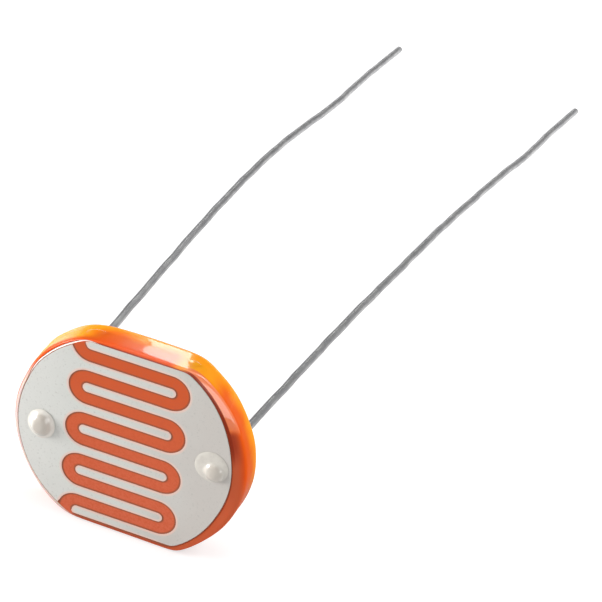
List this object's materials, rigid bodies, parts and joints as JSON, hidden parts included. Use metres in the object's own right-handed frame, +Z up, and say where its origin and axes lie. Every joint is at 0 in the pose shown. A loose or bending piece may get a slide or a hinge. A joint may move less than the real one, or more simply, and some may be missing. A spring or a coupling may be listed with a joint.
{
  "type": "photoresistor",
  "caption": "Flat-sided disc photoresistor with a serpentine track between comb electrodes, a dipped resin coat and two long wire leads.",
  "frame": {"origin": "middle of the lower flat that the body stands on", "axes": "+Z up, -Y out of the printed face, +Y back along the leads, +X to the right as the printed face is seen"},
  "size_m": [0.014, 0.0534, 0.0106],
  "materials": {
    "ceramic": "white sintered alumina",
    "film": "orange light-sensitive film under clear lacquer",
    "electrode": "pale grey metal film under clear lacquer",
    "contact": "pale conductive paste under clear lacquer",
    "lead": "tinned wire, dull",
    "coat": "glossy orange dipped epoxy"
  },
  "bodies": {
    "root": {"ceramic_base": "ceramic", "photo_layer": "film", "electrode_left": "electrode", "electrode_right": "electrode", "contact_left": "contact", "contact_right": "contact", "lead_left": "lead", "lead_right": "lead", "resin_coat": "coat"}
  },
  "joints": []
}
